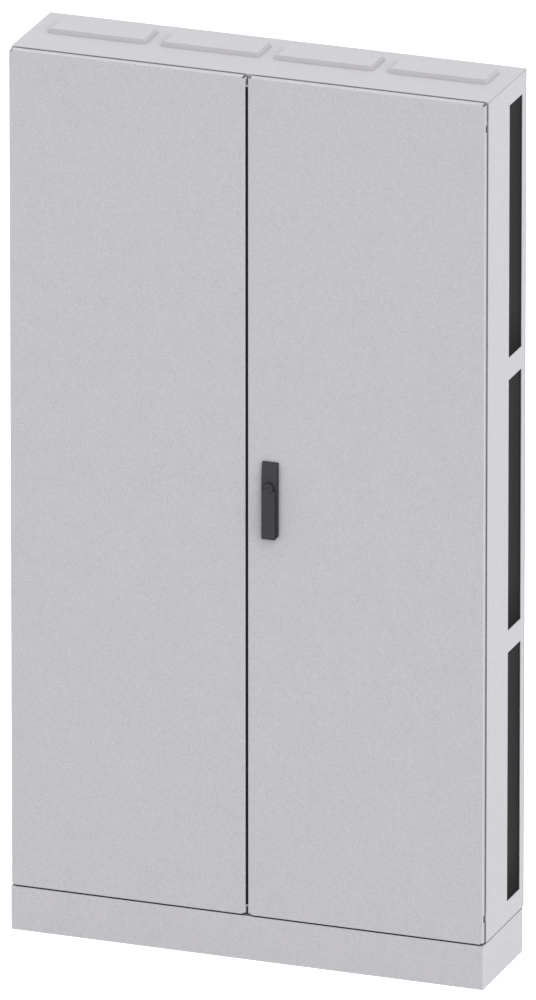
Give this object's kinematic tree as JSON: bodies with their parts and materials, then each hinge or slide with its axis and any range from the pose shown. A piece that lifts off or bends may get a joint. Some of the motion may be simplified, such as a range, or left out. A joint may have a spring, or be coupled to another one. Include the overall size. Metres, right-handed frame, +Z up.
{
  "type": "floor-standing switchboard cabinet",
  "caption": "Floor-standing electrical switchboard cabinet on a plinth, with two hinged sheet-steel doors, a swing handle that works a rod lock, side window covers and roof cable-entry covers.",
  "frame": {"origin": "on the floor, at the centre of the plinth's four floor-bolt holes", "axes": "+Z up, +X to the right as seen from the front, the doors face -Y"},
  "size_m": [1.05, 0.2675, 1.96],
  "materials": {
    "grey_powder_coat": "fine-textured semi-matt light grey powder coat",
    "black_cover": "matt black moulded plastic",
    "handle_black": "fine-grained black glass-filled plastic",
    "black_nylon": "smooth black nylon",
    "grey_plastic": "smooth light grey plastic",
    "black_rubber": "matt black rubber",
    "zinc_plate": "galvanised sheet steel",
    "plated_steel": "bright zinc-plated steel",
    "copper": "rolled copper"
  },
  "bodies": {
    "cabinet": {"plinth_frame": "grey_powder_coat", "plinth_rear_panel": "grey_powder_coat", "plinth_corner_brackets": "grey_powder_coat", "plinth_screws": "plated_steel", "cabinet_bolts": "plated_steel", "bottom_panel": "grey_powder_coat", "gland_plate_left": "grey_powder_coat", "gland_plate_right": "grey_powder_coat", "gland_plate_screws": "plated_steel", "left_side_panel": "grey_powder_coat", "right_side_panel": "grey_powder_coat", "left_side_cover_lower": "black_cover", "left_side_cover_middle": "black_cover", "left_side_cover_upper": "black_cover", "right_side_cover_lower": "black_cover", "right_side_cover_middle": "black_cover", "right_side_cover_upper": "black_cover", "rear_panel": "grey_powder_coat", "rear_panel_screws": "plated_steel", "roof_panel": "grey_powder_coat", "roof_header": "grey_powder_coat", "roof_cover_1": "grey_powder_coat", "roof_cover_2": "grey_powder_coat", "roof_cover_3": "grey_powder_coat", "roof_cover_4": "grey_powder_coat", "left_mounting_upright": "zinc_plate", "right_mounting_upright": "zinc_plate", "mounting_rails": "zinc_plate", "mounting_screws": "plated_steel", "earth_bar": "copper", "hinge_arms": "zinc_plate", "bolt_keepers": "zinc_plate"},
    "left_door": {"left_door_panel": "grey_powder_coat", "left_door_gasket": "black_rubber", "left_door_stiffeners": "grey_powder_coat", "left_hinge_leaves": "zinc_plate", "left_hinge_pins": "plated_steel", "meeting_edge_seal": "black_rubber", "seal_end_plugs": "grey_plastic", "slide_bolt_guides": "black_nylon"},
    "right_door": {"right_door_panel": "grey_powder_coat", "right_door_gasket": "black_rubber", "right_door_stiffeners": "grey_powder_coat", "right_hinge_leaves": "zinc_plate", "right_hinge_pins": "plated_steel", "handle_base": "handle_black", "handle_screws": "plated_steel", "lock_gear_case": "black_nylon", "lock_case_cover": "black_nylon", "rod_guides": "black_nylon"},
    "spindle": {"handle_hub": "handle_black", "drive_pinion": "plated_steel", "lever_pivot_pin": "plated_steel"},
    "lever": {"handle_lever": "handle_black"},
    "key_plug": {"lock_plug": "plated_steel"},
    "upper_rod": {"upper_lock_rod": "zinc_plate"},
    "lower_rod": {"lower_lock_rod": "zinc_plate"},
    "top_bolt": {"left_top_bolt": "black_nylon"},
    "bottom_bolt": {"left_bottom_bolt": "black_nylon"}
  },
  "joints": [
    {"name": "left_door_hinge", "type": "hinge", "parent": "cabinet", "child": "left_door", "pos_m": [-0.517, -0.1184, 1.0235], "axis": [0, 0, -1], "range_deg": [0, 120]},
    {"name": "right_door_hinge", "type": "hinge", "parent": "cabinet", "child": "right_door", "pos_m": [0.517, -0.1184, 1.0235], "axis": [0, 0, 1], "range_deg": [0, 120]},
    {"name": "lever_turn", "type": "hinge", "parent": "right_door", "child": "spindle", "pos_m": [0.054, -0.139, 1.0585], "axis": [0, -1, 0], "range_deg": [0, 90]},
    {"name": "lever_lift", "type": "hinge", "parent": "spindle", "child": "lever", "pos_m": [0.054, -0.1394, 1.0509], "axis": [-1, 0, 0], "range_deg": [0, 30]},
    {"name": "lock_plug_turn", "type": "hinge", "parent": "spindle", "child": "key_plug", "pos_m": [0.054, -0.1375, 1.0585], "axis": [0, -1, 0], "range_deg": [0, 90]},
    {"name": "upper_rod_slide", "type": "slide", "parent": "right_door", "child": "upper_rod", "axis": [0, 0, -1], "range_m": [0, 0.0142]},
    {"name": "lower_rod_slide", "type": "slide", "parent": "right_door", "child": "lower_rod", "axis": [0, 0, 1], "range_m": [0, 0.0142]},
    {"name": "top_bolt_slide", "type": "slide", "parent": "left_door", "child": "top_bolt", "axis": [0, 0, -1], "range_m": [0, 0.012]},
    {"name": "bottom_bolt_slide", "type": "slide", "parent": "left_door", "child": "bottom_bolt", "axis": [0, 0, 1], "range_m": [0, 0.012]}
  ],
  "couplings": [
    {"joint": "upper_rod_slide", "follows": "lever_turn", "m_per_rad": 0.009},
    {"joint": "lower_rod_slide", "follows": "lever_turn", "m_per_rad": 0.009}
  ]
}
